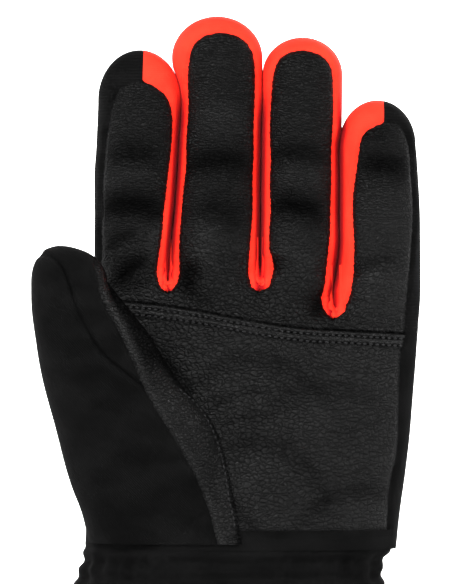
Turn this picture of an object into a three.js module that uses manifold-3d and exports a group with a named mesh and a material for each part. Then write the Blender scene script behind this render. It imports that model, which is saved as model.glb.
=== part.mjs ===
// Left-hand ski glove standing on its cuff hem, palm towards -Y, thumb towards -X.
// Millimetres, +Z up, origin at the centre of the footprint on the plane of the hem.
// The glove is a layered soft shell: outer panels, insulation and lining. Each digit is a tube of
// those layers that hinges at its base, the hand hinges on the cuff, and the strap's free end peels.
import * as THREE from 'three';
import { mergeVertices } from 'three/addons/utils/BufferGeometryUtils.js';
import Module from 'manifold-3d';

const wasm = await Module();
wasm.setup();

// ---- driving dimensions -------------------------------------------------------------------
const GAP = 0.35; // clearance between touching pieces
const SHELL = 1.0; // leather and softshell
const INSULATION = 1.9;
const LINING = 0.8; // fleece with its laminated membrane
const LAYERS = {
  shell: [0, SHELL],
  insulation: [SHELL + GAP, SHELL + GAP + INSULATION],
  lining: [SHELL + INSULATION + 2 * GAP, SHELL + INSULATION + 2 * GAP + LINING],
};
const ELASTIC = 0.7; // thickness of the wrist elastic, between shell and insulation
const ELASTIC_SPAN = [58, 68]; // heights of its edges
const CUFF_LAYERS = {
  shell: [0, SHELL],
  elastic: [SHELL + GAP, SHELL + GAP + ELASTIC],
  insulation: [SHELL + ELASTIC + 2 * GAP, SHELL + ELASTIC + 2 * GAP + INSULATION],
  lining: [SHELL + ELASTIC + INSULATION + 3 * GAP, SHELL + ELASTIC + INSULATION + 3 * GAP + LINING],
};
const CUFF_TOP = 70;
const HAND_BOTTOM = 84;
const LEATHER_BOTTOM = 90; // lower edge of the palm leather
const PALM_TOP = 196; // the palm's form ends here, above every finger hinge
const FORM_BOTTOM = 76; // lowest height that the hand's tables give
const OVERRUN = 3; // how far the form that hollows a layer runs past the layer's ends
const FAR = 200; // reach of cutting blocks
const [FINGER_SIDES, THUMB_SIDES, PALM_SIDES, CUFF_SIDES] = [14, 16, 24, 24];

// Limits of the hand in X and depth in Y by height, as [z, value] pairs.
const PALM = {
  left: [[76, -50], [96, -51], [128, -51], [157, -49.2], [178, -47.8], [200, -47.8]],
  right: [[76, 60], [96, 62.1], [128, 66], [157, 68.2], [178, 69.6], [200, 69.6]],
  front: [[76, 24], [96, 23], [128, 22], [157, 18], [178, 14.5], [200, 14]],
  back: [[76, 24], [96, 22], [128, 20], [157, 17], [178, 14.5], [200, 14]],
};
const THUMB = {
  left: [[76, -47], [96, -51.8], [121, -59.6], [143, -65], [157, -67.5], [171, -69.3], [180, -69.6]],
  right: [[76, 6], [96, 3.6], [121, -1.8], [143, -16.1], [157, -25], [170, -34.6], [180, -42.4]],
  middleY: [[76, -3], [96, -6], [121, -15], [143, -25], [157, -31], [171, -35], [193, -37]],
  halfDepth: [[76, 18], [96, 19], [121, 20], [143, 17], [157, 15], [171, 13.5], [180, 12.5]],
};
const THUMB_SHOULDER = 180;
const THUMB_TIP = 192.5;
const THUMB_TIP_X = -59;

// Lines that part the fingers, and the two outer edges, as [z, x] pairs.
const LINES = [
  [[166, -47.8], [217, -47.8], [243, -46.4]],
  [[166, -22.4], [217, -18.2], [245, -16.3], [270, -15.2]],
  [[166, 11.9], [217, 12.1], [257, 12.6]],
  [[160, 37.6], [196, 40.2], [235, 41.4], [257, 41.6]],
  [[172, 69.5], [200, 69.6], [221, 68.5], [232, 67.3]],
];
const FINGER_SIDE_GAP = 1.0; // from a parting line to the finger beside it
const FINGER_HALF_DEPTH = [[160, 14.3], [215, 13.2], [260, 12]];
const FINGER_CURL = 6; // how far a fingertip leans to the palm side, over CURL_LENGTH
const CURL_LENGTH = 95;
const FINGERS = [
  { name: 'index', hingeZ: 185, shoulder: 245, tip: 263, patchTop: 251.4, stripSplit: -30.5 },
  { name: 'middle', hingeZ: 181, shoulder: 257, tip: 275, patchTop: 263 },
  { name: 'ring', hingeZ: 179, shoulder: 250, tip: 267.5, patchTop: 256 },
  { name: 'little', hingeZ: 174, shoulder: 229, tip: 245, patchTop: 237, stripSplit: 56.5 },
];
const FINGER_HINGE_Y = -8;
const FINGER_HINGE_CLEARANCE = 7.2; // radius swept by the palm side of a bent finger, with room
const SEAM_INSET = 2.9; // from a finger's outline to the edge of its front or back panel
const PANEL_SPLIT_Y = 1.5; // front and back panels end this far before and behind the middle
const BACK_PANEL_SETBACK = 6; // of a finger's back panel below its tip

const THUMB_HINGE = new THREE.Vector3(-30.5, -36, 146);
const THUMB_CENTRE = new THREE.Vector3(-41, -26, 146);
const THUMB_DIRECTION = new THREE.Vector3(-0.36, -0.31, 0.88).normalize();
const THUMB_PALMAR = new THREE.Vector3(0.6, -0.8, 0).projectOnPlane(THUMB_DIRECTION).normalize();
const THUMB_HINGE_AXIS = THUMB_DIRECTION.clone().cross(THUMB_PALMAR);
const THUMB_START = 1; // the thumb's tube begins this far past its centre, along the thumb
const THUMB_CLEARANCE = 8; // radius that the thumb's palmar side sweeps at its hinge, with room
const THUMB_ROOM_BACK = -21; // the hinge's room stays in front of the palm

const WELT = { halfWidth: 1.7, thickness: 0.85, backLimit: -6 }; // over the seam across the palm

const CUFF = {
  halfWidth: [[0, 62.5], [20, 62], [44, 60.5], [60, 58], [70, 56.5], [80, 55.5]],
  halfDepth: [[0, 39.5], [20, 38.5], [44, 34.5], [60, 29], [70, 26.5], [80, 25]],
};
const BINDING = { wall: 1.0, floor: 1.4, height: 10 };
const STRAP = { bottom: 45, top: 65, thickness: 1.4, ringX: -20, endX: 42, tabEndX: 36 };
const RING_WIRE = 2.2;

// ---- materials ----------------------------------------------------------------------------
const material = (color, roughness, metalness = 0) =>
  new THREE.MeshStandardMaterial({ color, roughness, metalness });
const LEATHER = () => material(0x1b1b1c, 0.5);
const SOFTSHELL = () => material(0x121213, 0.85);
const NEON = () => material(0xff3c30, 0.7);
const FLEECE = () => material(0x2a2a2c, 1);
const WADDING = () => material(0xe6e4de, 1);
const WEBBING = () => material(0x161617, 0.8);
const PLASTIC = () => material(0x1e1e20, 0.45);
const RUBBER = () => material(0x222224, 0.6);

// ---- solids ---------------------------------------------------------------------------------
/** Value of a [position, value] table at a position, on straight lines between its rows. */
function at(table, position) {
  if (position <= table[0][0]) return table[0][1];
  for (let i = 1; i < table.length; i++) {
    const [p0, v0] = table[i - 1];
    const [p1, v1] = table[i];
    if (position <= p1) return v0 + ((v1 - v0) * (position - p0)) / (p1 - p0);
  }
  return table[table.length - 1][1];
}

function toSolid(geometry) {
  const bare = geometry.clone();
  bare.deleteAttribute('normal');
  bare.deleteAttribute('uv');
  const merged = mergeVertices(bare, 1e-4);
  return new wasm.Manifold(new wasm.Mesh({
    numProp: 3,
    vertProperties: new Float32Array(merged.attributes.position.array),
    triVerts: new Uint32Array(merged.index.array),
  }));
}

function toGeometry(solid) {
  const mesh = solid.getMesh();
  const geometry = new THREE.BufferGeometry();
  geometry.setAttribute('position', new THREE.BufferAttribute(mesh.vertProperties, 3));
  geometry.setIndex(new THREE.BufferAttribute(mesh.triVerts, 1));
  geometry.computeVertexNormals();
  return geometry;
}

/** Level ring with rounded-box corners; front and back are its depths towards -Y and +Y. */
function ring({ x, y, z, halfWidth, front, back, sides, power = 2.5 }) {
  const points = [];
  for (let i = 0; i < sides; i++) {
    const angle = (2 * Math.PI * (i + 0.5)) / sides;
    const c = Math.cos(angle);
    const s = Math.sin(angle);
    const depth = s < 0 ? front : back;
    points.push([
      x + halfWidth * Math.sign(c) * Math.abs(c) ** (2 / power),
      y + depth * Math.sign(s) * Math.abs(s) ** (2 / power),
      z,
    ]);
  }
  return points;
}

/** Closed solid over a stack of rings, from the lowest to the highest. */
function loft(rings) {
  const sides = rings[0].length;
  const positions = rings.flat();
  const index = [];
  for (let k = 0; k + 1 < rings.length; k++) {
    for (let i = 0; i < sides; i++) {
      const a = k * sides + i;
      const b = k * sides + ((i + 1) % sides);
      index.push(a, b, b + sides, a, b + sides, a + sides);
    }
  }
  for (const [k, turn] of [[0, 1], [rings.length - 1, -1]]) {
    const hub = positions.length;
    const middle = [0, 1, 2].map((axis) => rings[k].reduce((sum, p) => sum + p[axis], 0) / sides);
    positions.push(middle);
    for (let i = 0; i < sides; i++) {
      const a = k * sides + i;
      const b = k * sides + ((i + 1) % sides);
      index.push(hub, ...(turn > 0 ? [b, a] : [a, b]));
    }
  }
  const geometry = new THREE.BufferGeometry();
  geometry.setAttribute('position', new THREE.Float32BufferAttribute(positions.flat(), 3));
  geometry.setIndex(index);
  return toSolid(geometry);
}

function block(low, high) {
  const size = high.map((value, i) => value - low[i]);
  const box = new THREE.BoxGeometry(...size);
  box.translate(...low.map((value, i) => value + size[i] / 2));
  return toSolid(box);
}

/** Prism along Y with an outline of [x, z] points. */
function prism(outline, yLow, yHigh) {
  const shape = new THREE.Shape(outline.map(([x, z]) => new THREE.Vector2(x, z)));
  const geometry = new THREE.ExtrudeGeometry(shape, { depth: yHigh - yLow, bevelEnabled: false });
  geometry.rotateX(Math.PI / 2);
  geometry.translate(0, yHigh, 0);
  return toSolid(geometry);
}

/** Outline of [x, z] points moved outwards all round by an amount. */
function grown(outline, amount) {
  const points = outline.map(([x, z]) => new THREE.Vector2(x, z));
  if (THREE.ShapeUtils.area(points) < 0) points.reverse();
  const outward = (a, b) => new THREE.Vector2(b.y - a.y, a.x - b.x).normalize();
  return points.map((point, i) => {
    const before = outward(points[(i + points.length - 1) % points.length], point);
    const after = outward(point, points[(i + 1) % points.length]);
    const miter = before.clone().add(after).normalize();
    const moved = point.clone().addScaledVector(miter, amount / Math.max(0.4, miter.dot(after)));
    return [moved.x, moved.y];
  });
}

/** Cuts a shell into named panels by outlines, with a seam gap round each; returns what is left. */
function cutPanels(shell, panels) {
  let rest = shell;
  for (const { name, outline, yLow = -FAR, yHigh = FAR, makeMaterial } of panels) {
    addNode(name, rest.intersect(prism(outline, yLow, yHigh)), makeMaterial);
    rest = rest.subtract(prism(grown(outline, GAP), yLow - GAP, yHigh + GAP));
  }
  return rest;
}

/** Cylinder about an axis through a point. */
function rod(point, axis, radius, length, sides = 24) {
  const geometry = new THREE.CylinderGeometry(radius, radius, length, sides);
  const turn = new THREE.Quaternion().setFromUnitVectors(new THREE.Vector3(0, 1, 0), axis);
  geometry.applyQuaternion(turn);
  geometry.translate(point.x, point.y, point.z);
  return toSolid(geometry);
}

/** Everything on the far side of a plane, as a large block. */
function halfSpace(point, normal) {
  const geometry = new THREE.BoxGeometry(FAR, FAR, FAR);
  geometry.translate(0, 0, FAR / 2);
  geometry.applyQuaternion(new THREE.Quaternion().setFromUnitVectors(new THREE.Vector3(0, 0, 1), normal));
  geometry.translate(point.x, point.y, point.z);
  return toSolid(geometry);
}

/** Largest connected body of a solid; slivers left by cuts are dropped. */
function mainBody(solid) {
  const bodies = solid.decompose();
  return bodies.reduce((best, body) => (body.volume() > best.volume() ? body : best));
}

const glove = new THREE.Group();
glove.name = 'ski_glove';
function addNode(name, solid, makeMaterial) {
  const mesh = new THREE.Mesh(toGeometry(mainBody(solid)), makeMaterial());
  mesh.name = name;
  glove.add(mesh);
}

// ---- forms: the outer shape of each region, drawn in by an inset ------------------------------
function palmForm(inset, bottom, top = PALM_TOP) {
  const heights = [bottom, 96, 128, 157, 178, top].filter((z) => z >= bottom && z <= top);
  return loft(heights.map((z) => {
    const left = at(PALM.left, z) + inset;
    const right = at(PALM.right, z) - inset;
    return ring({
      x: (left + right) / 2, y: 0, z, halfWidth: (right - left) / 2,
      front: at(PALM.front, z) - inset, back: at(PALM.back, z) - inset, sides: PALM_SIDES,
    });
  }));
}

/** Rings of a rounded tip above a shoulder; sectionAt gives the straight part's section there. */
function tipRings(sectionAt, shoulder, tip, inset, endX) {
  const rise = tip - shoulder - inset;
  const base = sectionAt(shoulder);
  return [30, 58, 82].map((degrees) => {
    const angle = THREE.MathUtils.degToRad(degrees);
    const z = shoulder + rise * Math.sin(angle);
    const share = Math.cos(angle);
    const here = sectionAt(z);
    const lean = 1 - share;
    return ring({
      ...here, z,
      x: base.x + (endX - base.x) * lean,
      halfWidth: base.halfWidth * share, front: base.front * share, back: base.back * share,
    });
  });
}

function thumbForm(inset, bottom) {
  const section = (z) => {
    const left = at(THUMB.left, z) + inset;
    const right = at(THUMB.right, z) - inset;
    const depth = at(THUMB.halfDepth, z) - inset;
    return {
      x: (left + right) / 2, y: at(THUMB.middleY, z), halfWidth: (right - left) / 2,
      front: depth, back: depth, sides: THUMB_SIDES, power: 2.3,
    };
  };
  const heights = [bottom, 96, 121, 143, 157, 170, THUMB_SHOULDER].filter((z) => z >= bottom);
  return loft([
    ...heights.map((z) => ring({ ...section(z), z })),
    ...tipRings(section, THUMB_SHOULDER, THUMB_TIP, inset, THUMB_TIP_X),
  ]);
}

function fingerForm(finger, number, inset, bottom) {
  const section = (z) => {
    const left = at(LINES[number], z) + (number > 0 ? FINGER_SIDE_GAP : 0) + inset;
    const right = at(LINES[number + 1], z) - (number < 3 ? FINGER_SIDE_GAP : 0) - inset;
    const depth = at(FINGER_HALF_DEPTH, z) - inset;
    const curl = FINGER_CURL * (Math.max(0, z - finger.hingeZ) / CURL_LENGTH) ** 2;
    return {
      x: (left + right) / 2, y: -curl, halfWidth: (right - left) / 2,
      front: depth, back: depth, sides: FINGER_SIDES,
    };
  };
  const heights = [];
  const steps = 3;
  for (let i = 0; i <= steps; i++) heights.push(bottom + ((finger.shoulder - bottom) * i) / steps);
  return loft([
    ...heights.map((z) => ring({ ...section(z), z })),
    ...tipRings(section, finger.shoulder, finger.tip, inset, section(finger.shoulder).x),
  ]);
}

function cuffForm(inset, bottom, top) {
  const heights = [bottom, 20, 44, 60, top].filter((z, i, all) => i === 0 || (z > bottom && z <= top));
  return loft(heights.map((z) => ring({
    x: 0, y: 0, z, halfWidth: at(CUFF.halfWidth, z) - inset,
    front: at(CUFF.halfDepth, z) - inset, back: at(CUFF.halfDepth, z) - inset, sides: CUFF_SIDES,
  })));
}

// ---- digits -----------------------------------------------------------------------------------
/** Outline of a finger panel in XZ: the finger's outline drawn in, with a rounded top. */
function panelOutline(finger, number, inset, top) {
  const low = finger.hingeZ - 6;
  const shoulder = top - 12;
  const left = (z) => at(LINES[number], z) + inset;
  const right = (z) => at(LINES[number + 1], z) - inset;
  const middle = (left(shoulder) + right(shoulder)) / 2;
  const half = (right(shoulder) - left(shoulder)) / 2;
  const outline = [[left(low), low], [right(low), low]];
  for (let degrees = 0; degrees <= 180; degrees += 30) {
    const angle = THREE.MathUtils.degToRad(degrees);
    outline.push([middle + half * Math.cos(angle), shoulder + (top - shoulder) * Math.sin(angle) ** 0.7]);
  }
  return outline;
}

function fingerLayer(finger, number, [outer, inner]) {
  const start = finger.hingeZ + 1;
  return fingerForm(finger, number, outer, start)
    .subtract(fingerForm(finger, number, inner, start - OVERRUN));
}

FINGERS.forEach((finger, number) => {
  const shell = fingerLayer(finger, number, LAYERS.shell);
  const strip = cutPanels(shell, [
    {
      name: `${finger.name}_palm_leather`, makeMaterial: LEATHER, yHigh: -PANEL_SPLIT_Y,
      outline: panelOutline(finger, number, SEAM_INSET, finger.patchTop),
    },
    {
      name: `${finger.name}_back_panel`, makeMaterial: SOFTSHELL, yLow: PANEL_SPLIT_Y,
      outline: panelOutline(finger, number, SEAM_INSET, finger.tip - BACK_PANEL_SETBACK),
    },
  ]);
  if (finger.stripSplit === undefined) {
    addNode(`${finger.name}_fourchette`, strip, NEON);
  } else {
    const split = finger.stripSplit;
    const outerIsLeft = number === 0;
    const leftPart = strip.intersect(block([-FAR, -FAR, 0], [split - GAP / 2, FAR, 2 * FAR]));
    const rightPart = strip.intersect(block([split + GAP / 2, -FAR, 0], [FAR, FAR, 2 * FAR]));
    addNode(`${finger.name}_fourchette`, outerIsLeft ? rightPart : leftPart, NEON);
    addNode(`${finger.name}_side_strip`, outerIsLeft ? leftPart : rightPart, SOFTSHELL);
  }
  addNode(`${finger.name}_insulation`, fingerLayer(finger, number, LAYERS.insulation), WADDING);
  addNode(`${finger.name}_lining`, fingerLayer(finger, number, LAYERS.lining), FLEECE);
});

// Left edge of the thumb's leather strip, and the seam between its back panel and gusset.
const STRIP_EDGE = [[-47.5, 195], [-45.3, 183], [-43.6, 173.3], [-34.6, 155.4], [-26.8, 137.6], [-15, 117.9],
  [-5.7, 95.4], [-4, LEATHER_BOTTOM]];
const GUSSET_EDGE = [
  [-68.2, 189], [-63.2, 189.3], [-58.9, 186.5], [-53.2, 171.5], [-45.3, 156.5], [-32.8, 145.4]];

function thumbLayer([outer, inner]) {
  const tube = thumbForm(outer, FORM_BOTTOM).subtract(thumbForm(inner, FORM_BOTTOM - OVERRUN));
  const start = THUMB_CENTRE.clone().addScaledVector(THUMB_DIRECTION, THUMB_START);
  return tube.intersect(halfSpace(start, THUMB_DIRECTION));
}
{
  const shell = thumbLayer(LAYERS.shell);
  const back = cutPanels(shell, [
    {
      name: 'thumb_leather', makeMaterial: LEATHER, yHigh: -27,
      outline: [...STRIP_EDGE, [FAR, LEATHER_BOTTOM], [FAR, 195]],
    },
    {
      name: 'thumb_gusset', makeMaterial: SOFTSHELL, yHigh: -33,
      outline: [[-80, 210], [-80, 189], ...GUSSET_EDGE, [-20, 140], [-20, 210]],
    },
  ]);
  addNode('thumb_back_panel', back, SOFTSHELL);
  addNode('thumb_insulation', thumbLayer(LAYERS.insulation), WADDING);
  addNode('thumb_lining', thumbLayer(LAYERS.lining), FLEECE);
}

// ---- hand ---------------------------------------------------------------------------------------
/** Space that the fingers and thumb need above and around their hinges. */
function digitRoom() {
  let room = null;
  FINGERS.forEach((finger, number) => {
    const left = number === 0 ? -FAR : at(LINES[number], finger.hingeZ);
    const right = number === 3 ? FAR : at(LINES[number + 1], finger.hingeZ);
    const above = block([left, -FAR, finger.hingeZ], [right, FAR, FAR * 2]);
    const frontStep = block(
      [left, -FAR, finger.hingeZ - FINGER_HINGE_CLEARANCE], [right, FINGER_HINGE_Y, FAR * 2]);
    const x = number === 0 ? right - FAR / 2 : number === 3 ? left + FAR / 2 : (left + right) / 2;
    const length = number === 0 || number === 3 ? FAR : right - left;
    const groove = rod(new THREE.Vector3(x, FINGER_HINGE_Y, finger.hingeZ), new THREE.Vector3(1, 0, 0),
      FINGER_HINGE_CLEARANCE, length, 24);
    const piece = above.add(frontStep).add(groove);
    room = room === null ? piece : room.add(piece);
  });
  return room;
}
const DIGIT_ROOM = digitRoom();
const THUMB_ROOM = rod(THUMB_HINGE, THUMB_HINGE_AXIS, THUMB_CLEARANCE, 60)
  .intersect(block([-FAR, -FAR, 0], [FAR, THUMB_ROOM_BACK, FAR]));

function handOuter(inset, bottom) {
  const base = thumbForm(inset, FORM_BOTTOM)
    .subtract(halfSpace(THUMB_CENTRE, THUMB_DIRECTION))
    .subtract(block([-FAR, -FAR, 0], [FAR, FAR, bottom]));
  return palmForm(inset, bottom).add(base);
}
function handInner(inset, bottom) {
  const beyond = THUMB_CENTRE.clone().addScaledVector(THUMB_DIRECTION, OVERRUN);
  return palmForm(inset, bottom, PALM_TOP + OVERRUN)
    .add(thumbForm(inset, FORM_BOTTOM).subtract(halfSpace(beyond, THUMB_DIRECTION)));
}
function handLayer([outer, inner]) {
  return handOuter(outer, HAND_BOTTOM).subtract(handInner(inner, HAND_BOTTOM - OVERRUN))
    .subtract(DIGIT_ROOM).subtract(THUMB_ROOM);
}
{
  const shell = handLayer(LAYERS.shell);
  const seamLine = [[-38.2, 170.5], [-9.6, 167.6], [8.2, 164.3], [26.1, 161.5], [63.4, 159.4]];
  const thenarSeam = [[3.8, LEATHER_BOTTOM], [-1.8, 121.5], [-10.4, 137.6], [-22.1, 151.8], [-34.6, 169.7]];
  const rightSeam = [[61.5, LEATHER_BOTTOM], [60.5, 119], [62, 137]];
  const yHigh = -0.5;
  const back = cutPanels(shell, [
    {
      name: 'lower_palm_leather', makeMaterial: LEATHER, yHigh,
      outline: [...rightSeam, ...seamLine.slice().reverse(), ...thenarSeam.slice(0, 4).reverse()],
    },
    {
      name: 'thumb_base_leather', makeMaterial: LEATHER, yHigh,
      outline: [...STRIP_EDGE.slice(2), ...thenarSeam],
    },
    {
      name: 'upper_palm_leather', makeMaterial: LEATHER, yHigh,
      outline: [...seamLine, [66, 185], [-45.3, 185], [-44.5, 174]],
    },
  ]);
  addNode('hand_back_panel', back, SOFTSHELL);
  addNode('hand_insulation', handLayer(LAYERS.insulation), WADDING);
  addNode('hand_lining', handLayer(LAYERS.lining), FLEECE);

  // Folded welt over the seam across the palm, standing just off the leather.
  const shifted = (rise) => seamLine.map(([x, z]) => [x, z + rise]);
  const outline = [...shifted(-WELT.halfWidth), ...shifted(WELT.halfWidth).reverse()];
  const raised = palmForm(-GAP - WELT.thickness, HAND_BOTTOM)
    .subtract(palmForm(-GAP, HAND_BOTTOM - OVERRUN, PALM_TOP + OVERRUN));
  const welt = raised.intersect(prism(outline, -FAR, WELT.backLimit));
  addNode('palm_seam_welt', welt.subtract(thumbForm(-GAP * 2, FORM_BOTTOM)), LEATHER);
}

// ---- cuff -----------------------------------------------------------------------------------------
const CUFF_START = BINDING.floor + GAP;
const cuffLayer = ([outer, inner], bottom = CUFF_START, top = CUFF_TOP) =>
  cuffForm(outer, bottom, top).subtract(cuffForm(inner, bottom - OVERRUN, top + OVERRUN));
{
  const shell = cuffLayer(CUFF_LAYERS.shell);
  addNode('cuff_palm_panel', shell.intersect(block([-FAR, -FAR, -10], [FAR, -GAP / 2, FAR])), SOFTSHELL);
  addNode('cuff_back_panel', shell.intersect(block([-FAR, GAP / 2, -10], [FAR, FAR, FAR])), SOFTSHELL);
  addNode('wrist_elastic', cuffLayer(CUFF_LAYERS.elastic, ...ELASTIC_SPAN), WEBBING);
  addNode('cuff_insulation', cuffLayer(CUFF_LAYERS.insulation), WADDING);
  addNode('cuff_lining', cuffLayer(CUFF_LAYERS.lining), FLEECE);
  const innermost = CUFF_LAYERS.lining[1];
  const bindingBody = cuffForm(-GAP - BINDING.wall, 0, BINDING.height)
    .subtract(cuffForm(innermost + GAP + BINDING.wall, -OVERRUN, BINDING.height + OVERRUN));
  const bindingSlot = cuffForm(-GAP, BINDING.floor, BINDING.height + OVERRUN)
    .subtract(cuffForm(innermost + GAP, BINDING.floor - OVERRUN, BINDING.height + 2 * OVERRUN));
  addNode('hem_binding', bindingBody.subtract(bindingSlot), WEBBING);
}

// ---- strap ------------------------------------------------------------------------------------------
/** Band that follows the back of the cuff between two X limits, at a distance off the shell. */
function backBand(x0, x1, z0, z1, low, thickness) {
  return cuffForm(-low - thickness, 30, 72).subtract(cuffForm(-low, 25, 77))
    .intersect(block([x0, 0, z0], [x1, FAR, z1]));
}
{
  const legLow = GAP;
  const loopLow = legLow + STRAP.thickness + GAP;
  const hookLow = loopLow + 0.8 + GAP;
  const tabLow = hookLow + 0.8 + GAP;
  const { bottom, top, ringX, endX, tabEndX } = STRAP;
  addNode('strap_leg', backBand(ringX + 4, endX, bottom, top, legLow, STRAP.thickness), WEBBING);
  addNode('loop_patch', backBand(ringX + 12, endX - 4, bottom + 1, top - 1, loopLow, 0.8), FLEECE);
  addNode('hook_patch', backBand(ringX + 14, tabEndX - 14, bottom + 1.5, top - 1.5, hookLow, 0.8), PLASTIC);
  addNode('strap_tab', backBand(ringX + 5, tabEndX, bottom, top, tabLow, STRAP.thickness), WEBBING);
  addNode('pull_tab', backBand(tabEndX + GAP, tabEndX + 12, bottom + 2, top - 2, tabLow - 0.4, 2.2), RUBBER);
  addNode('ring_keeper', backBand(ringX - 18, ringX - 4, bottom, top, legLow, STRAP.thickness), WEBBING);
  const frame = backBand(ringX - 3.6, ringX + 3.6, bottom - 3, top + 3, 1.2, RING_WIRE)
    .subtract(block([ringX - 1.4, 0, bottom], [ringX + 1.4, FAR, top]));
  addNode('strap_ring', frame, PLASTIC);
}

// ---- pull-on loop on the palm side of the cuff ------------------------------------------------
{
  const [length, reach, width, thickness, corner] = [30, 10, 12, 1.2, 6];
  const band = new THREE.Shape();
  band.moveTo(0, 0).lineTo(reach, corner).lineTo(reach, length - corner).lineTo(0, length).closePath();
  const eye = new THREE.Path();
  eye.moveTo(thickness, 2.5 * thickness).lineTo(thickness, length - 2.5 * thickness)
    .lineTo(reach - thickness, length - corner - 0.5).lineTo(reach - thickness, corner + 0.5).closePath();
  band.holes.push(eye);
  const geometry = new THREE.ExtrudeGeometry(band, { depth: width, bevelEnabled: false });
  geometry.applyMatrix4(new THREE.Matrix4().makeBasis(
    new THREE.Vector3(0, -1, 0), new THREE.Vector3(0, 0, 1), new THREE.Vector3(-1, 0, 0)));
  const [low, high] = [18, 18 + length];
  const lean = Math.atan2(at(CUFF.halfDepth, low) - at(CUFF.halfDepth, high), length);
  geometry.rotateX(-lean);
  geometry.translate(24 + width / 2, -at(CUFF.halfDepth, low) - 0.2, low);
  addNode('pull_on_loop', toSolid(geometry).subtract(cuffForm(-GAP, 12, 60)), WEBBING);
}

// Centre the footprint of the whole glove on the origin.
const extent = new THREE.Box3().setFromObject(glove);
glove.position.set(-(extent.min.x + extent.max.x) / 2, -(extent.min.y + extent.max.y) / 2, 0);

export default glove;
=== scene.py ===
"""Left-hand ski glove: the visible skins, seams and fittings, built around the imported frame.

Lengths are millimetres in the glove's own axes (palm -Y, thumb -X, +Z up) until to_object() turns
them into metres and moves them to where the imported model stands.
"""
import math

import bpy
import numpy as np
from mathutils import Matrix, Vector


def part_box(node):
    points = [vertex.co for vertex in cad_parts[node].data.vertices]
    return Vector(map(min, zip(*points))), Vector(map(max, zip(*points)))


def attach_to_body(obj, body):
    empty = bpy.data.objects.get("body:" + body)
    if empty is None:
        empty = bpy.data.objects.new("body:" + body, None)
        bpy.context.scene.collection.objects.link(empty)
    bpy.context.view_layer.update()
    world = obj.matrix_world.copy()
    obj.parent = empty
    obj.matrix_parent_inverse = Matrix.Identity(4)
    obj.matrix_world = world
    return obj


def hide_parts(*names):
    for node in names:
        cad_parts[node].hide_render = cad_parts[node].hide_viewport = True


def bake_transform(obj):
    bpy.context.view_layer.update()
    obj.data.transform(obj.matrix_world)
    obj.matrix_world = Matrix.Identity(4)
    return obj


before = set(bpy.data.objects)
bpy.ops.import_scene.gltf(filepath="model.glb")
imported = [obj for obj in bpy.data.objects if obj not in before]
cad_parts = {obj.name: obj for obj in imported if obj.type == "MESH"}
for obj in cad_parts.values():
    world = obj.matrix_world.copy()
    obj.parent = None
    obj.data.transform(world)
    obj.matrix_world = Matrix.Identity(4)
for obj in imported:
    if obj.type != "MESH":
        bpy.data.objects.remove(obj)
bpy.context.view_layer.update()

MM = 0.001
HEM_LOW, HEM_HIGH = (Vector(corner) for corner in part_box("hem_binding"))
ORIGIN = np.array([(HEM_LOW.x + HEM_HIGH.x) / 2, (HEM_LOW.y + HEM_HIGH.y) / 2, 0.0])
FINE = 0.6  # grid step along a digit

# ---- the glove's form, the same as the frame's ---------------------------------------
PALM = {
    "left": [(76, -50), (96, -51), (128, -51), (157, -49.2), (178, -47.8), (200, -47.8)],
    "right": [(76, 60), (96, 62.1), (114, 64.3), (128, 66), (157, 68.2), (178, 69.6), (200, 69.6)],
    "depth": [(76, 24), (96, 22.5), (128, 21), (157, 17.5), (178, 14.5), (200, 14)],
}
THUMB = {
    "left": [(84, -49.3), (96, -51.8), (107, -55.7), (121, -59.6), (143, -65), (157, -67.5),
             (171, -69.3), (180, -69.6)],
    "right": [(84, 5.5), (96, 3.6), (112, 0.4), (121, -1.8), (130, -5.4), (143, -16.1), (152, -22.1),
              (161, -27.5), (170, -34.6), (180, -42.4)],
    "middle_y": [(84, -4), (96, -6), (121, -15), (143, -25), (157, -31), (171, -35), (193, -37)],
    "half_depth": [(84, 18), (96, 19), (121, 20), (143, 17), (157, 15), (171, 13.5), (180, 12.5)],
}
THUMB_SHOULDER, THUMB_TIP, THUMB_TIP_X = 180, 192.5, -59
LINES = [
    [(150, -48.6), (187, -47.8), (217, -47.8), (228, -47.1), (243, -46.4)],
    [(160, -21.4), (176, -21.4), (196, -20), (207, -18.9), (217, -18.2), (228, -17.5), (245, -16.4),
     (257, -16.2)],
    [(160, 11.8), (176, 11.8), (217, 12.1), (257, 12.7), (270, 12.7)],
    [(160, 37.8), (167, 37.8), (175, 37.8), (182, 38.9), (196, 40.2), (228, 40.2), (235, 41.2),
     (257, 41.4)],
    [(150, 67.6), (160, 68.4), (178, 69.6), (200, 69.5), (221, 68.5), (232, 67.5)],
]
MIDDLE_LEFT = [(245, 0), (250, -0.7), (254, -2.1), (257, -3.3), (262, -3.8)]  # the middle finger's bulge
FINGER_HALF_DEPTH = [(160, 14.3), (215, 13.2), (260, 12)]
FINGER_CURL, CURL_LENGTH = 6, 95
FINGER_BOTTOM = 154  # lowest row of a finger's grid, below the palm's seam
CROTCH = [None, 176.5, 176.8, 167.2, None]  # height where the gap beside each line ends
CROTCH_OPENS = np.array([-1.0, 8.0])  # heights from there over which the digits part
LINER_INSET = {"finger": 4.2, "hand": 3.2, "thumb": 3.2, "cuff": 5.6}  # from the skin to the padding
POWER, THUMB_POWER = 2.5, 2.3  # roundness of the sections: 2 is an ellipse, more is squarer
FINGERS = [
    dict(name="index", hinge=185, shoulder=245, tip=263),
    dict(name="middle", hinge=181, shoulder=260, tip=275),
    dict(name="ring", hinge=179, shoulder=254, tip=267.5),
    dict(name="little", hinge=174, shoulder=229, tip=245),
]
CUFF = {
    "half_width": [(0, 62.5), (20, 62), (44, 60.5), (60, 58), (70, 56.5), (80, 55.5), (92, 56)],
    "half_depth": [(0, 39.5), (20, 38.5), (44, 34.5), (60, 29), (70, 26.5), (80, 24.6), (92, 23)],
}

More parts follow.
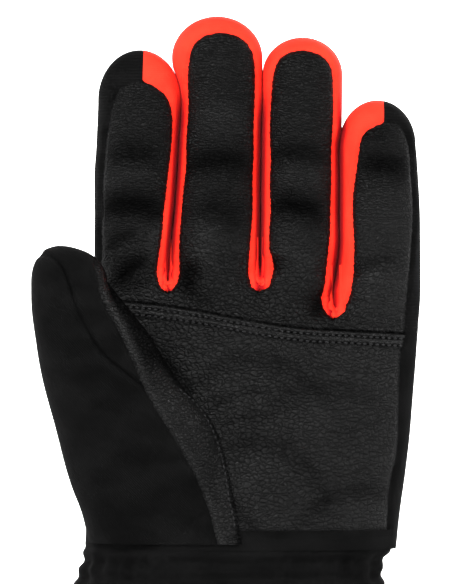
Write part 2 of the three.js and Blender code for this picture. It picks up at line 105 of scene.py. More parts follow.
# ---- seams, as (x, z) points seen from the palm side ---------------------------------
PALM_SEAM = [(-60, 172.4), (-38.2, 171), (-27.5, 170.2), (-9.6, 167.6), (8.2, 164.3), (26.1, 161.6),
             (43.9, 160.6), (80, 158.6)]
WELT_LOW, WELT_HIGH = -3.4, 1.25  # edges of the raised welt over that seam
WELT_STITCHES = (-0.25, -2.8)  # its two rows of stitches
WELT_FOLD = 1.7  # the fold above it, pressed in and darkened with painted shade
HAND_PAST_SEAM = 2.3  # how far the hand's leather runs on above the seam, under the fingers' leather
THENAR_SEAM = [(-47.8, 189), (-45.3, 186.5), (-40, 176.8), (-34.6, 169.7), (-27.5, 160.8), (-22.1, 151.8),
               (-16.1, 142.9), (-10.4, 137.6), (-5.4, 130.4), (-1.8, 121.5), (0.4, 112.6), (2.1, 101.9),
               (3.6, 95.4), (4.6, 84)]
RIGHT_SEAM = [(57.6, 84), (58.2, 95.4), (59.3, 109), (61.4, 119.7), (62.1, 137.6), (62.8, 155.4),
              (63.9, 161.5), (64.6, 173.3), (66.4, 191), (67.1, 209), (66, 226.8), (63.5, 234)]
STRIP_EDGE = [(-47.9, 190), (-45.3, 183), (-43.6, 173.3), (-38.9, 164.3), (-34.6, 155.4), (-30.3, 144.7),
              (-26.8, 137.6), (-20.3, 126.9), (-15, 117.9), (-9.6, 107.2), (-5.7, 95.4), (-3, 84)]
GUSSET_SEAM = [(-72, 188), (-68.2, 189), (-63.2, 189.3), (-58.9, 186.5), (-56, 180.4), (-53.2, 171.5),
               (-48.9, 162.6), (-45.3, 156.5), (-40, 151.1), (-32.8, 145.4), (-29, 142.5)]
LEATHER_BOTTOM = 90
TONGUES = {  # outlines of the leather on each finger, from the lower left over the top
    "index": [(-45.8, 150), (-45.5, 190), (-45.3, 209), (-44.3, 226.8), (-42.5, 237.5), (-40.7, 244.7),
              (-37.5, 249.7), (-30, 251.4), (-23.9, 248.2), (-20.3, 244.7), (-18.9, 239), (-19.0, 234),
              (-19.6, 226.8), (-20.7, 217.9), (-21.8, 207.2), (-23.2, 194.7), (-24.3, 186), (-24.2, 180),
              (-22.8, 177.4), (-20, 176.2), (-14, 174.6), (-14, 150)],
    "middle": [(-29, 150), (-29, 174.6), (-23, 176.2), (-19.8, 177.6), (-18.3, 181.5), (-17.9, 191),
               (-17.1, 203.6), (-16.4, 214), (-15.4, 228.6), (-14.6, 244.7), (-14.3, 256), (-12.6, 264),
               (-8, 268), (-2.1, 269), (3.8, 268), (8.8, 264), (10.6, 256), (10.2, 241), (10.4, 227),
               (10, 207),
               (8.9, 194.7), (8.3, 184), (8.8, 179.4), (10.2, 177.7), (13.5, 176.5), (19, 175), (19, 150)],
    "ring": [(5, 150), (5, 175), (10.5, 176.5), (14.0, 178), (15.7, 181.8), (15.4, 188), (14.6, 196),
             (14.6, 228), (15, 246), (16.4, 256), (19.6, 261), (26.5, 262.6), (33.6, 261), (37.6, 256),
             (38.5, 246), (38.2, 226.8), (37.5, 201.8), (36.8, 189), (35.7, 178.6), (35.3, 172.5),
             (36.5, 168.8),
             (39.5, 166.6), (45, 165.4), (45, 150)],
    "little": [(31, 150), (31, 165.4), (36.5, 166.6), (40.4, 169), (43.2, 174), (44.3, 178.6), (45, 191),
               (44.6, 209), (45.7, 220.4), (46.8, 226.8), (47.8, 231.5), (51.1, 234.7), (57.5, 237.2),
               (62.2, 236), (66, 226.8), (67.1, 209), (66.4, 191), (64.6, 173.3), (63.9, 161.5), (62.8, 150)],
}
BACK_SEAM_Z = 166  # seam across the back of the hand
BACK_INSET = 3.4
# Soft folds: x, z, half length, half width, depth, turn in degrees. The last ones stand proud.
# The depth is also painted into the leather's colour: painted shade in the folds, painted highlight on the
# proud ones.
FOLDS = [
    (-34, 207.5, 12, 5.5, 1.0, -4), (-33, 226, 9, 5, 0.7, 0), (-35, 184, 8, 3.2, 1.0, 38),
    (-38, 195, 6, 3, 0.7, 30), (-3, 223.5, 12, 5.2, 0.9, 0), (-2, 205, 9, 6, 0.6, -20),
    (-13.5, 182, 5.0, 4.5, 0.9, 80), (25, 207, 10, 5.0, 1.0, -12), (25, 226, 10, 4, 0.7, 0),
    (17, 186, 3.0, 5, 0.9, 80), (33, 172, 5, 4.0, 0.9, 60), (56, 222, 9, 4.8, 0.9, -8),
    (52, 233, 6, 3, 0.6, 0), (51, 186, 9, 2.4, 0.6, 22), (-12, 175, 8, 2.5, 0.5, -30),
    (-18, 146, 9, 2.2, 0.6, -48), (20, 120, 26, 4, 0.5, -25), (30, 142, 22, 5, 0.4, 10),
    (0, 100, 22, 2.4, 0.5, -28), (40, 104, 18, 3, 0.5, 18), (-26, 152, 12, 4.5, 0.9, -52),
    (12, 152, 30, 3.5, 0.4, -6), (2, 139, 10, 1.6, 0.5, 20), (6, 131, 10, 1.4, 0.45, 12),
    (-26, 194, 8, 2.4, -0.5, 80), (-42.5, 181, 4, 3, -0.5, 60), (-29, 175, 8, 2.2, -0.35, -8),
    (-8, 193, 9, 4, -0.45, 80), (24, 187, 9, 6, -0.35, 0), (56, 178, 10, 11, -0.7, 0),
    (-34, 218, 9, 4, -0.3, 0), (-2, 239, 10, 7, -0.3, 0), (26, 217, 10, 5, -0.3, 0),
    (55, 205, 9, 8, -0.45, 0),
]


def smooth(table, z):
    """Value of a table at z, on a smooth curve through its rows that doesn't overshoot them."""
    zs, vs = (np.array(column, float) for column in zip(*table))
    z = np.clip(np.asarray(z, float), zs[0], zs[-1])
    steps = np.diff(vs) / np.diff(zs)
    product, total = steps[:-1] * steps[1:], steps[:-1] + steps[1:]
    inner = np.where(product > 0, 2 * product / (total + 1e-12), 0)
    slopes = np.concatenate([[steps[0]], inner, [steps[-1]]])
    i = np.clip(np.searchsorted(zs, z, side="right") - 1, 0, len(steps) - 1)
    width = zs[i + 1] - zs[i]
    t = (z - zs[i]) / width
    return (vs[i] * (1 + 2 * t) * (1 - t) ** 2 + slopes[i] * width * t * (1 - t) ** 2
            + vs[i + 1] * t * t * (3 - 2 * t) + slopes[i + 1] * width * t * t * (t - 1))


def step(low, high, value):
    t = np.clip((value - low) / (high - low), 0, 1)
    return t * t * (3 - 2 * t)


def rounded(points, closed=False, per=6):
    """The points joined by a smooth curve."""
    p = np.array(points, float)
    n = len(p)
    out = []
    for i in range(n if closed else n - 1):
        a, b, c, d = (p[k % n] if closed else p[min(max(k, 0), n - 1)] for k in (i - 1, i, i + 1, i + 2))
        for t in np.arange(per) / per:
            out.append(0.5 * (2 * b + (c - a) * t + (2 * a - 5 * b + 4 * c - d) * t ** 2
                              + (3 * b - a - 3 * c + d) * t ** 3))
    if not closed:
        out.append(p[-1])
    return np.array(out)


def line_distance(line, x, z):
    """Distance from each (x, z) to a polyline, negative on its right going along."""
    best = np.full(np.shape(x), 1e9)
    side = np.ones(np.shape(x))
    for (ax, az), (bx, bz) in zip(line[:-1], line[1:]):
        dx, dz = bx - ax, bz - az
        length = dx * dx + dz * dz
        if length < 1e-9:
            continue
        t = np.clip(((x - ax) * dx + (z - az) * dz) / length, 0, 1)
        d = np.hypot(x - ax - t * dx, z - az - t * dz)
        closer = d < best - 1e-9
        cross = (x - ax) * dz - (z - az) * dx
        best = np.where(closer, d, best)
        side = np.where(closer, np.where(cross >= 0, -1.0, 1.0), side)
    return best * side


def inside_distance(outline, x, z):
    """Distance to a closed outline, positive inside it."""
    ring = np.vstack([outline, outline[:1]])
    best = np.abs(line_distance(ring, x, z))
    inside = np.zeros(np.shape(x), bool)
    for (ax, az), (bx, bz) in zip(ring[:-1], ring[1:]):
        if az == bz:
            continue
        crosses = (az > z) != (bz > z)
        inside ^= crosses & (x < (bx - ax) * (z - az) / (bz - az) + ax)
    return np.where(inside, best, -best)


def section_front(x, left, right, depth, power=POWER):
    """How far a rounded section between two limits stands from its middle plane."""
    across = np.clip(np.abs((x - (left + right) / 2) / ((right - left) / 2)), 0, 1)
    return depth * (1 - across ** power) ** (1 / power)


def palm_depth(x, z):
    """How far the hand's front or back stands from its middle plane."""
    return section_front(x, *(smooth(PALM[key], z) for key in ("left", "right", "depth")))


def seam_height(x):
    line = rounded(PALM_SEAM)
    return np.interp(x, line[:, 0], line[:, 1])


def hand_end(x, y):
    """Height where the hand's pieces end and the fingers' begin: over the palm's welt, or the back seam."""
    behind = step(-9, 9, y)
    return (seam_height(x) + HAND_PAST_SEAM) * (1 - behind) + BACK_SEAM_Z * behind


def gaps(number):
    """The sides of a finger that have a neighbour, -1 left and 1 right, each with its parting line."""
    return [(side, line) for side, line in ((-1, number), (1, number + 1)) if CROTCH[line] is not None]


def finger_front(number, x, z):
    """Y of a finger's front near its base, where it grows out of the palm."""
    opened = 1.0
    for _, line in gaps(number):
        near = step(12, 4, np.abs(x - smooth(LINES[line], z)))
        opened = opened * (1 - near) + near * step(*CROTCH_OPENS + CROTCH[line], z)
    own = section_front(x, *(smooth(table, z) for table in (*LINES[number:number + 2], FINGER_HALF_DEPTH)))
    return -(own * opened + palm_depth(x, z) * (1 - opened))


def thumb_front(x, z):
    """Y of the thumb's front, which stands proud of the palm beside the seam where they join."""
    seam = np.abs(line_distance(rounded(THENAR_SEAM), x, z))
    form = (smooth(THUMB[key], z) for key in ("left", "right", "half_depth"))
    tube = smooth(THUMB["middle_y"], z) - section_front(x, *form, THUMB_POWER)
    proud = -palm_depth(x, z) - 0.9 * (1 - np.exp(-seam / 0.8)) - 0.1
    return np.minimum(tube, np.where(x > -50, proud, 0))


# ---- surfaces: grids of points, with the seams pressed in ----------------------------
def grid_normals(p):
    """Normals of a grid whose rows close on themselves."""
    n = np.cross(np.roll(p, -1, 1) - np.roll(p, 1, 1), np.gradient(p, axis=0))
    return n / (np.linalg.norm(n, axis=2, keepdims=True) + 1e-12)


def section(columns, power=POWER):
    """Points round a section, from -1 to 1 across and deep; 2 is an ellipse and more power is squarer."""
    angle = 2 * math.pi * (np.arange(columns) + 0.5) / columns
    return [np.sign(v) * np.abs(v) ** (2 / power) for v in (np.cos(angle)[None, :], np.sin(angle)[None, :])]


def unit(vectors):
    return vectors / np.linalg.norm(vectors, axis=-1, keepdims=True)


def waves(p, size, seed):
    """Slow pseudo-random swell over a surface, about -1 to 1, from a few summed sines."""
    random = np.random.default_rng(seed)
    total = np.zeros(p.shape[:-1])
    for _ in range(7):
        direction = random.normal(size=3)
        direction *= 2 * math.pi / (size * random.uniform(0.7, 1.5) * np.linalg.norm(direction))
        total += np.sin(p @ direction + random.uniform(0, 6.3))
    return total / 3.5


def folds(x, z):
    depth = np.zeros(np.shape(x))
    for fx, fz, length, width, deep, turn in FOLDS:
        c, s = math.cos(math.radians(turn)), math.sin(math.radians(turn))
        u = (x - fx) * c + (z - fz) * s
        v = -(x - fx) * s + (z - fz) * c + 0.02 * u * u
        depth += deep * np.exp(-(u / length) ** 4 - (v / width) ** 2)
    return depth


def ridge(distance, width):
    return np.exp(-(distance / width) ** 2)


def hand_shade(points):
    """Painted shade in the folds and along the seam across the palm: its fold and stitch rows painted dark,
    with painted highlights on the leather beside them.
    """
    x, z = points[:, 0], points[:, 2]
    v = z - seam_height(x)
    rows = sum(ridge(v - row, 0.4) for row in WELT_STITCHES)
    lit = 0.9 * ridge(v - 0.75, 0.4) + 0.6 * ridge(v + 1.5, 0.6)
    return folds(x, z) + 1.4 * ridge(v - WELT_FOLD, 0.45) + 1.3 * rows - lit


# painted shade in the leather's folds, painted highlight on the proud ones
def leather_shade(points):
    return folds(points[:, 0], points[:, 2])


def thumb_shade(points):
    """Painted shade, dark and smooth along the thumb's fold against the palm, with a painted highlight on the
    edge where the strip begins.
    """
    x, y, z = points.T
    inside = np.abs(line_distance(rounded(STRIP_EDGE), x, z))
    thenar = line_distance(rounded(THENAR_SEAM), x, z)
    painted_fold_shade = step(1.6, 4.5, inside) * step(138, 158, z) * step(3, -4, y - smooth(THUMB["middle_y"], z))
    return 1.2 * painted_fold_shade - 0.5 * ridge(inside - 1.2, 0.8) + 0.9 * ridge(thenar, 1.6)


def shell_shade(points):
    """Painted shade along the thumb gusset's seam, with a painted highlight on its outer side."""
    x, z = points[:, 0], points[:, 2]
    seam = line_distance(rounded(GUSSET_SEAM), x, z)
    return 1.6 * ridge(seam, 0.4) - 0.5 * ridge(seam + 1.1, 0.6)


def wall_shade(number):
    """Painted shade on a finger's gusset: dark in the gap beside its neighbours, fading out towards the tip.
    """
    def shade(points):
        x, z = points[:, 0], points[:, 2]
        depth = np.zeros(len(points))
        for _, line in gaps(number):
            depth = np.maximum(depth, step(2.4, 0.8, np.abs(x - smooth(LINES[line], z))))
        return depth * step(252, 236, z)
    return shade


def press_seams(p, normals, distance, depth, width):
    """The grid with a groove pressed in where the distance to a seam is small."""
    return p - normals * (depth * ridge(distance, width))[..., None]


def clip(p, f):
    """Faces of a grid of closed rows where f is above 0, cut cleanly along f = 0."""
    rows, cols = f.shape
    flat = p.reshape(-1, 3)
    keep = f > 0
    next_col = (np.arange(cols) + 1) % cols
    points, index, faces = [], {}, []

    def vertex(key, place):
        if key not in index:
            index[key] = len(points)
            points.append(place)
        return index[key]

    for r in range(rows - 1):
        for c in range(cols):
            corners = [(r, c), (r, next_col[c]), (r + 1, next_col[c]), (r + 1, c)]
            ins = [keep[k] for k in corners]
            if not any(ins):
                continue
            face = []
            for i, a in enumerate(corners):
                b = corners[(i + 1) % 4]
                ia, ib = a[0] * cols + a[1], b[0] * cols + b[1]
                if ins[i]:
                    face.append(vertex(ia, flat[ia]))
                if ins[i] != ins[(i + 1) % 4]:
                    t = f[a] / (f[a] - f[b])
                    key = (min(ia, ib), max(ia, ib))
                    face.append(vertex(key, flat[ia] * (1 - t) + flat[ib] * t))
            if len(face) > 2:
                faces.append(face)
    return np.array(points), faces


def to_object(name, points, faces, material, slot, shade=None):
    """Mesh object from points in millimetres; shade(points) is each one's painted shade for a fold or seam,
    below 0 a painted highlight.
    """
    mesh = bpy.data.meshes.new(name)
    place = np.asarray(points, float) * MM + ORIGIN
    mesh.from_pydata(place.tolist(), [], [list(map(int, f)) for f in faces])
    mesh.validate()
    mesh.polygons.foreach_set("use_smooth", [True] * len(mesh.polygons))
    rest = mesh.attributes.new("rest_place", "FLOAT_VECTOR", "POINT")
    co = np.empty(len(mesh.vertices) * 3)
    mesh.vertices.foreach_get("co", co)
    rest.data.foreach_set("vector", (co * 1000).astype(np.float32))
    # painted shade, and painted highlight where negative, kept on each point for the materials
    if shade is not None:
        depth = mesh.attributes.new("painted_shade", "FLOAT", "POINT")
        depth.data.foreach_set("value", shade(np.asarray(points)).astype(np.float32))
    mesh.materials.append(material)
    obj = bpy.data.objects.new(name, mesh)
    bpy.context.collection.objects.link(obj)
    return obj


def on_hand(obj):
    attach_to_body(obj, "hand")


def on_cuff(obj):
    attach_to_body(obj, "cuff")


def on_strap(obj):
    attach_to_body(obj, "strap_end")


def across_wrist(obj):
    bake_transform(obj)


def make_piece(name, grid, f, look, slot, attach, *nodes, shade=None):
    """The part of a grid where f is above 0, handed to attach, in place of the CAD nodes named, which are
    hidden.
    """
    obj = to_object(name, *clip(grid, f), MATERIALS[look], slot, shade)
    attach(obj)
    if nodes:
        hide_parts(*nodes)
    return obj


def make_liner(part, grid, f, attach):
    """A part's padding and lining, as one soft piece."""
    liner = make_piece(f"{part}_padded_liner", grid, f, "fleece", "lining", attach,
                       f"{part}_insulation", f"{part}_lining")


# ---- materials -----------------------------------------------------------------------
class Shader:
    """A Principled material with a few short-hands for its nodes; places come from rest_place."""

    def __init__(self, name, roughness, sheen=0.0, specular=0.5):
        self.material = bpy.data.materials.new(name)
        self.material.use_nodes = True
        self.tree = self.material.node_tree
        self.shader = self.tree.nodes["Principled BSDF"]
        self.shader.inputs["Roughness"].default_value = roughness
        self.shader.inputs["Specular IOR Level"].default_value = specular
        self.shader.inputs["Sheen Weight"].default_value = sheen
        self.height = None

    def node(self, kind, **settings):
        node = self.tree.nodes.new(kind)
        for key, value in settings.items():
            if key in node.inputs:
                node.inputs[key].default_value = value
            else:
                setattr(node, key, value)
        return node

    def link(self, a, b):
        self.tree.links.new(a, b)

    def place(self, scale=(1, 1, 1), turn=(0, 0, 0)):
        attribute = self.node("ShaderNodeAttribute", attribute_name="rest_place")
        return self.fed("ShaderNodeMapping", attribute.outputs["Vector"], "Vector", Scale=scale,
                        Rotation=turn)

    def depth(self):
        """Painted shade of the surface, from -1 (painted highlight where it stands proud) to 2 (dark painted
        shade deep in a fold or seam).
        """
        return self.node("ShaderNodeAttribute", attribute_name="painted_shade").outputs["Fac"]

    def painted_shade_ramp(self, *stops):
        """Colour ramp over the painted shade, its ends at -1 and 2."""
        return self.ramp(self.span(self.depth(), 0.0, 1.0, -1.0, 2.0), *stops)

    def fed(self, kind, place, output, **settings):
        """Output of a new node that takes a place as its vector."""
        node = self.node(kind, **settings)
        self.link(place, node.inputs["Vector"])
        return node.outputs[output]

    def times(self, color, other, share=None):
        """Two colours multiplied, the second one only in part where a share is given."""
        mix = self.node("ShaderNodeMix", data_type="RGBA", blend_type="MULTIPLY")
        mix.inputs["Factor"].default_value = 1.0
        if share is not None:
            self.link(share, mix.inputs["Factor"])
        self.link(color, mix.inputs[6])
        self.link(other, mix.inputs[7])
        return mix.outputs[2]

    def noise(self, place, scale, detail=3.0):
        return self.fed("ShaderNodeTexNoise", place, "Fac", Scale=scale, Detail=detail)

    def cells(self, place, scale):
        return self.fed("ShaderNodeTexVoronoi", place, "Distance", feature="DISTANCE_TO_EDGE", Scale=scale)

    def bands(self, place, pitch, direction, distortion):
        """Even ridges, a pitch in millimetres apart."""
        return self.fed("ShaderNodeTexWave", place, "Fac", bands_direction=direction,
                        Scale=math.pi / (10 * pitch), Distortion=distortion)

    def ramp(self, value, *stops):
        """Colour ramp through (position, colour) stops, where a plain number is a grey."""
        node = self.node("ShaderNodeValToRGB")
        elements = node.color_ramp.elements
        for _ in range(len(stops) - 2):
            elements.new(0.5)
        for element, (position, color) in zip(elements, stops):
            element.position = position
            element.color = (color, color, color, 1) if isinstance(color, (int, float)) else (*color, 1)
        self.link(value, node.inputs["Fac"])
        return node.outputs["Color"]

    def span(self, value, low, high, from_low=0.0, from_high=1.0):
        ends = {"From Min": from_low, "From Max": from_high, "To Min": low, "To Max": high}
        node = self.node("ShaderNodeMapRange", **ends)
        self.link(value, node.inputs["Value"])
        return node.outputs["Result"]

    def bump(self, value, millimetres):
        node = self.node("ShaderNodeBump", Distance=millimetres * MM, Strength=1.0)
        self.link(value, node.inputs["Height"])
        if self.height is not None:
            self.link(self.height, node.inputs["Normal"])
        self.height = node.outputs["Normal"]
        self.link(self.height, self.shader.inputs["Normal"])

    def color(self, value):
        self.link(value, self.shader.inputs["Base Color"])

    def roughness(self, value):
        self.link(value, self.shader.inputs["Roughness"])


def leather(name, stretch, grain, tone_scale, base_of_finger=None):
    """Pebbled grain: soft cells parted by fine dark creases, drawn out across the fingers.

    The grain is in cells to the millimetre; base_of_finger gives another stretch and grain for there.
    """
    m = Shader(name, 0.45, specular=0.075)

    def cells(stretch, grain):
        place = m.place(stretch)
        bent = m.node("ShaderNodeVectorMath", operation="MULTIPLY_ADD")
        m.link(m.fed("ShaderNodeTexNoise", place, "Color", Scale=0.3, Detail=2.0), bent.inputs[0])
        bent.inputs[1].default_value = (1.8, 1.8, 1.8)
        m.link(place, bent.inputs[2])
        return m.cells(bent.outputs["Vector"], grain)

    cell = cells(stretch, grain)
    if base_of_finger:
        mix = m.node("ShaderNodeMix", data_type="FLOAT")
        height = m.fed("ShaderNodeSeparateXYZ", m.place(), "Z")
        m.link(m.span(height, 0.0, 1.0, 188.0, 204.0), mix.inputs[0])
        m.link(cells(*base_of_finger), mix.inputs[2])
        m.link(cell, mix.inputs[3])
        cell = mix.outputs[0]
    slow = m.noise(m.place(), 0.045, 4.0)
    wrinkle = m.noise(m.place((0.5, 1, 1.5)), 0.3, 3.0)
    m.bump(slow, 0.8)
    m.bump(wrinkle, 0.45)
    m.bump(m.ramp(cell, (0.0, 0), (0.08, 0.6), (0.3, 1)), 0.34)
    tone = m.ramp(slow, (0.3, 0.0065 * tone_scale), (0.7, 0.0115 * tone_scale))
    # painted shade: darker in folds and seams, and a painted highlight where the surface stands proud
    lit = m.painted_shade_ramp((0.0, 1), (0.2, 0.72), (0.333, 0.5), (0.5, 0.44), (0.667, 0.38), (1.0, 0.28))
    tone = m.times(tone, lit)
    tone = m.times(tone, m.ramp(wrinkle, (0.32, 0.72), (0.66, 1)))
    creases = m.ramp(cell, (0.0, 0.1), (0.08, 0.5), (0.22, 1))
    m.color(m.times(tone, creases, m.span(m.noise(m.place(), 0.11, 3.0), 0.55, 1.0, 0.35, 0.65)))
    # reflection turned down in the painted shade and up on the painted highlights
    m.link(m.span(m.depth(), 0.12, 0.0, -0.6, 1.1), m.shader.inputs["Specular IOR Level"])
    m.roughness(m.span(m.noise(m.place(), 0.2), 0.38, 0.52))
    return m.material


def softshell(name, turn=(0, 0.75, 0), pitch=0.65, tone_scale=1.0):
    """Matt woven shell with a fine diagonal twill and a slight nap."""
    m = Shader(name, 0.85, sheen=0.006, specular=0.02)
    twill = m.bands(m.place((1, 1, 1), turn), pitch, "X", 0.6)
    slow = m.noise(m.place(), 0.05, 4.0)
    m.bump(slow, 0.8)
    m.bump(twill, 0.05)
    m.bump(m.noise(m.place(), 4.5, 2.0), 0.08)
    tone = m.ramp(m.noise(m.place(), 1.3, 3.0), (0.3, 0.0032 * tone_scale), (0.75, 0.0072 * tone_scale))
    clouds = m.noise(m.place((0.7, 1, 1.3)), 0.09, 4.0)
    m.bump(clouds, 0.4)
    tone = m.times(tone, m.ramp(clouds, (0.36, 0.5), (0.64, 1)))
    tone = m.times(tone, m.ramp(twill, (0.1, 0.6), (0.9, 1)))
    # painted shade along the seams, lighter for the painted highlight beside them
    m.color(m.times(tone, m.painted_shade_ramp((0.0, 1), (0.333, 0.72), (1.0, 0.15))))
    return m.material


def neon_fabric():
    """Fluorescent stretch knit of the gussets, with painted shade that makes it darker and deeper in colour
    inside the gaps.
    """
    m = Shader("neon_stretch_fabric", 0.75, sheen=0.02, specular=0.05)
    m.bump(m.noise(m.place(), 0.25, 3.0), 0.25)
    m.bump(m.bands(m.place(), 0.7, "Z", 0.3), 0.02)
    tone = m.ramp(m.noise(m.place(), 0.12, 3.0), (0.3, (0.75, 0.021, 0.01)), (0.7, (0.81, 0.03, 0.014)))
    # painted shade inside the gaps between the fingers
    painted_gap_shade = m.ramp(m.depth(), (0.0, 1), (0.55, (0.6, 0.3, 0.5)), (1.0, (0.33, 0.06, 0.3)))
    m.color(m.times(tone, painted_gap_shade))
    return m.material


def webbing(name):
    """Narrow woven tape: ribs along it and a weft across."""
    m = Shader(name, 0.75, sheen=0.03, specular=0.15)
    m.bump(m.bands(m.place(), 1.6, "Z", 0.2), 0.2)
    m.bump(m.bands(m.place(), 0.9, "X", 0.2), 0.1)
    m.color(m.ramp(m.noise(m.place(), 1.5), (0.3, (0.005, 0.005, 0.0054)), (0.7, (0.0095, 0.0095, 0.0099))))
    return m.material


def fleece(name, dark=(0.016, 0.016, 0.018), light=(0.04, 0.04, 0.043)):
    """Brushed pile."""
    m = Shader(name, 0.95, sheen=0.12, specular=0.05)
    m.bump(m.noise(m.place(), 1.6, 5.0), 0.6)
    m.color(m.ramp(m.noise(m.place(), 0.9, 5.0), (0.3, dark), (0.7, light)))
    return m.material


def moulded(name, color=(0.013, 0.013, 0.014), roughness=0.42, specular=0.3):
    m = Shader(name, roughness, specular=specular)
    m.bump(m.noise(m.place(), 5.0, 2.0), 0.03)
    m.color(m.ramp(m.noise(m.place(), 0.3), (0.3, color), (0.7, tuple(c * 1.4 for c in color))))
    m.roughness(m.span(m.noise(m.place(), 1.2), roughness - 0.06, roughness + 0.1))
    return m.material


MATERIALS = {
    "finger_leather": leather("grained_leather_fingers", (0.62, 1, 1.5), 0.76, 0.41,
                              base_of_finger=((0.9, 1, 1.15), 0.62)),
    "palm_leather": leather("grained_leather_palm", (0.85, 1, 1.15), 0.62, 1.08),
    "thumb_leather": leather("grained_leather_thumb", (0.95, 1, 1.2), 0.66, 1.1),
    "softshell": softshell("softshell_twill", tone_scale=1.12),
    "side_band": softshell("softshell_ribbed_band", (0, math.pi / 2, 0), 1.1, 1.1),
    "neon": neon_fabric(),
    "webbing": webbing("woven_tape"),
    "fleece": fleece("fleece_lining"),
    "pile": fleece("loop_pile", (0.01, 0.01, 0.011), (0.025, 0.025, 0.027)),
    "thread": moulded("black_thread", (0.007, 0.007, 0.0072), 0.6, 0.15),
    "plastic": moulded("moulded_ring"),
    "rubber": moulded("moulded_pull_tab", (0.012, 0.012, 0.012), 0.6),
}


def digit_rows(bottom, shoulder, tip, inset, row_step, dome_rows):
    """Heights of a digit's rows, closest together over the tip, and each one's share of the width."""
    straight = np.arange(bottom, shoulder, row_step)
    dome = np.radians(np.concatenate([np.linspace(0, 70, dome_rows, endpoint=False),
                                      np.linspace(70, 89.5, 7)]))
    z = np.concatenate([straight, shoulder + (tip - shoulder - inset) * np.sin(dome)])
    return z, np.concatenate([np.ones(len(straight)), np.cos(dome)])[:, None]


# ---- fingers -------------------------------------------------------------------------
def wall_overlap(line, z):
    """How far a finger's wall passes the parting line, so that no light shows between two fingers."""
    above = z - CROTCH[line]
    return 0.05 + 0.35 * step(16, 8, above) * step(-6, 1, above)


def finger_grid(number, inset=0.0, columns=112, row_step=FINE):
    """Points of one finger from below the palm seam to the tip, and which of them face the palm."""
    finger = FINGERS[number]
    shoulder, tip = finger["shoulder"], finger["tip"]
    z, share = digit_rows(FINGER_BOTTOM, shoulder, tip, inset, row_step, 18)
    c, s = section(columns)
    z_low = np.minimum(z, shoulder)
    left, right = smooth(LINES[number], z_low) + inset, smooth(LINES[number + 1], z_low) - inset
    for side, line in gaps(number) if inset == 0 else ():
        if side < 0:
            left = left - wall_overlap(line, z_low)
        else:
            right = right + wall_overlap(line, z_low)
    if number == 1:
        left = left + smooth(MIDDLE_LEFT, z_low)
    middle, half = ((left + right) / 2)[:, None], ((right - left) / 2)[:, None]
    z = z[:, None] + 0 * c
    crotches = [CROTCH[line] for _, line in gaps(number)]
    weight = step(min(crotches) - 2, max(crotches) + 16, z)
    for side, line in gaps(number):
        weight = np.where(np.sign(c) == side, step(*CROTCH_OPENS + CROTCH[line], z), weight)
    x = middle + half * share * c
    own = (smooth(FINGER_HALF_DEPTH, z) - inset) * share * np.abs(s)
    slab = np.maximum(palm_depth(x, np.minimum(z, 200)) - inset, 0.3)
    middle_y = -FINGER_CURL * (np.clip(z - finger["hinge"], 0, None) / CURL_LENGTH) ** 2
    y = middle_y + np.sign(s) * (own * weight + slab * (1 - weight))
    return np.dstack([x, y, z]), y < middle_y


